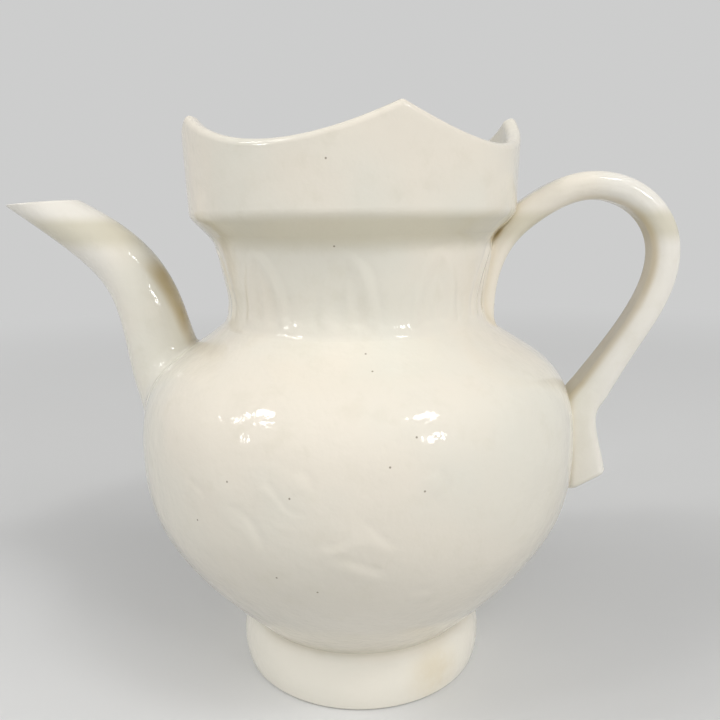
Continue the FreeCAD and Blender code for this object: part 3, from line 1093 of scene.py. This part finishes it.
def ivory_glaze():
    material = bpy.data.materials.new("ivory_glaze")
    n = Nodes(material)
    place = n.add("ShaderNodeTexCoord").outputs["Object"]
    fine = n.noise(place, grain_scale, 4.0, 0.6)
    color = clay_tones(n, place, fine)
    color = pool_and_shade_tone(n, place, color)
    color = specks(n, place, color)
    color = stained(n, place, color)
    waves = bumped(n, n.noise(place, wave_scale, 1.5), wave_height)
    pits = bumped(n, n.noise(place, pit_scale), pit_height, Normal=waves)
    rough = n.ramp(n.noise(place, gloss_scale), *gloss_range)
    n.finish(n.add("ShaderNodeBsdfPrincipled", {"Base Color": color, "Roughness": rough,
                                                "IOR": glaze_ior, "Normal": pits}).outputs[0])
    return material


# Studio

floor_color = (0.70, 0.71, 0.72, 1)
floor_patch_color = (0.66, 0.67, 0.68, 1)
backdrop_color = (0.61, 0.612, 0.61, 1)
ambient_color = (1.0, 0.99, 0.97, 1)
lamp_color = (1.0, 0.985, 0.96)
world_strength = 0.2
floor_reach = 6.0
floor_fade = (0.2, 0.7)


def pale_floor():
    """Matt floor near the object, which turns into the plain backdrop further out."""
    material = bpy.data.materials.new("pale_floor")
    n = Nodes(material)
    place = n.add("ShaderNodeTexCoord").outputs["Object"]
    tone = n.mix(n.ramp(n.noise(place, 6.0, 3.0), 0.3, 0.7, 0.0, 0.25), floor_color,
                 floor_patch_color)
    matt = n.add("ShaderNodeBsdfPrincipled", {"Base Color": tone, "Roughness": 0.85,
                                              "Specular IOR Level": 0.2}).outputs[0]
    plain = n.add("ShaderNodeEmission", {"Color": backdrop_color, "Strength": 1.0}).outputs[0]
    far = n.math("MULTIPLY", n.seen_plainly(), n.ramp(n.length(place), *floor_fade))
    n.finish(n.mix_shaders(far, matt, plain))
    return material


def make_floor():
    mesh = bpy.data.meshes.new("studio_floor")
    corners = [(x * floor_reach, y * floor_reach, 0)
               for x, y in ((-1, -1), (1, -1), (1, 1), (-1, 1))]
    mesh.from_pydata(corners, [], [(0, 1, 2, 3)])
    floor = bpy.data.objects.new("studio_floor", mesh)
    bpy.context.scene.collection.objects.link(floor)
    mesh.materials.append(pale_floor())


def make_world():
    world = bpy.data.worlds.new("studio")
    bpy.context.scene.world = world
    n = Nodes(world)
    ambient = n.add("ShaderNodeBackground", {"Color": ambient_color, "Strength": world_strength})
    shown = n.add("ShaderNodeBackground", {"Color": backdrop_color, "Strength": 1.0})
    n.finish(n.mix_shaders(n.seen_plainly(), ambient.outputs[0], shown.outputs[0]),
             "ShaderNodeOutputWorld")


target = Vector((0, 0, 0.066))

# Softboxes: bearing to the right of the photographed side, height angle, distance,
# width, height and power. The gloss shows only the small ones, whose names start with key.
softboxes = {
    "fill_right_high": (50, 50, 2.0, 1.2, 1.0, 8.5),
    "fill_left_high": (-72, 45, 2.0, 1.2, 1.0, 8.9),
    "fill_right": (60, 20, 2.0, 1.4, 1.2, 6.2),
    "fill_front": (0, 24, 2.4, 1.6, 1.2, 9.6),
    "fill_top": (0, 68, 2.0, 1.2, 1.0, 1.9),
    "fill_back": (170, 35, 2.2, 1.2, 0.9, 3.5),
    "key_left_high": (-68, 50, 1.0, 0.09, 0.11, 0.5),
    "key_left_middle": (-72, 42, 1.0, 0.09, 0.12, 0.5),
    "key_left": (-74, 34, 1.0, 0.06, 0.10, 0.3),
    "key_left_inner": (-55, 40, 1.0, 0.07, 0.10, 0.35),
    "key_left_low": (-57, 18, 1.0, 0.05, 0.11, 0.35),
    "key_right_high": (48, 51, 1.0, 0.20, 0.10, 1.3),
    "key_right_low": (42, 24, 1.0, 0.16, 0.07, 0.8),
}


def make_softbox(name, bearing, rise, distance, width, height, power):
    light = bpy.data.lights.new(name, "AREA")
    light.shape = "RECTANGLE"
    light.size = width
    light.size_y = height
    light.energy = power
    light.color = lamp_color
    lamp = bpy.data.objects.new(name, light)
    bpy.context.scene.collection.objects.link(lamp)
    around, up = math.radians(bearing), math.radians(rise)
    away = Vector((math.cos(up) * math.sin(around), -math.cos(up) * math.cos(around),
                   math.sin(up)))
    lamp.location = target + away * distance
    lamp.rotation_euler = away.to_track_quat("Z", "Y").to_euler()
    lamp.visible_glossy = name.startswith("key")


# Camera, fitted to the outline, the rim points and the foot in the photo
camera_place = (0.0062, -0.15956, 0.102575)
camera_bearing = math.radians(-2.0)
camera_pitch = 0.20205
camera_roll = 0.015285
camera_lens = 35.36
camera_sensor = 36.0
camera_rise_share = 0.00297
camera_near = 0.005


def make_camera():
    data = bpy.data.cameras.new("photo_camera")
    data.lens = camera_lens
    data.sensor_width = camera_sensor
    data.shift_y = camera_rise_share
    data.clip_start = camera_near
    camera = bpy.data.objects.new("photo_camera", data)
    bpy.context.scene.collection.objects.link(camera)
    level = Vector((math.sin(camera_bearing), math.cos(camera_bearing), 0))
    forward = level * math.cos(camera_pitch) - Vector((0, 0, math.sin(camera_pitch)))
    right = Vector((level.y, -level.x, 0))
    up = right.cross(forward)
    c, s = math.cos(camera_roll), math.sin(camera_roll)
    right, up = right * c - up * s, right * s + up * c
    axes = Matrix((right, up, -forward)).transposed()
    camera.matrix_world = Matrix.Translation(camera_place) @ axes.to_4x4()
    bpy.context.scene.camera = camera


glaze = ivory_glaze()
for make in (make_lower_bowl, make_upper_bowl, make_neck, make_spout, make_handle_strap,
             make_handle_tail):
    make().data.materials.append(glaze)
for name in ("foot_ring", "mouth_cup"):
    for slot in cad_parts[name].material_slots:
        slot.material = glaze

make_floor()
make_world()
for name, settings in softboxes.items():
    make_softbox(name, *settings)
make_camera()
bpy.context.scene.view_settings.view_transform = "Standard"
